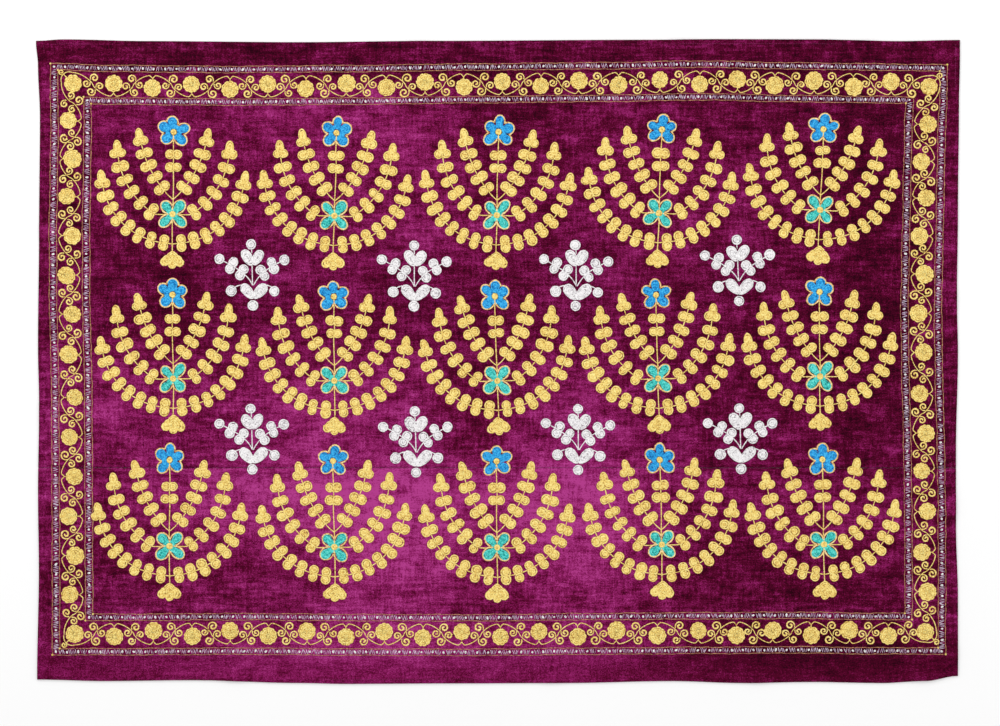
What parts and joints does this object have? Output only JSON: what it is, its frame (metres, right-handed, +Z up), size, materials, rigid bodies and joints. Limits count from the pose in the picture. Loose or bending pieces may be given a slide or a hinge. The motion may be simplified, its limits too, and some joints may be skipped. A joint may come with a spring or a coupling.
{
  "type": "suzani embroidered textile",
  "caption": "A velvet suzani lying face up: two panels sewn along one seam, with a turned hem, for covering a table, bed or wall",
  "frame": {"origin": "centre of the cloth's bounding box, on the surface that it lies on", "axes": "+Z is up through the cloth's thickness to its worked face; +X runs along the long side, to the picture's right; +Y runs across it, to the picture's top"},
  "size_m": [2.105, 1.469, 0.0064],
  "materials": {
    "velvet": "short cut pile, wine and magenta, brushed in patches",
    "golden_thread": "satin chain stitch in golden yellow",
    "outline_thread": "satin chain stitch in orange gold",
    "blue_thread": "satin chain stitch in sky blue",
    "turquoise_thread": "satin chain stitch in turquoise",
    "white_thread": "satin chain stitch in white",
    "lilac_thread": "fine slanted stitches in pale lilac",
    "copper_thread": "thin lines in coppery gold"
  },
  "bodies": {
    "root": {"velvet_upper": "velvet", "velvet_lower": "velvet"}
  },
  "joints": []
}
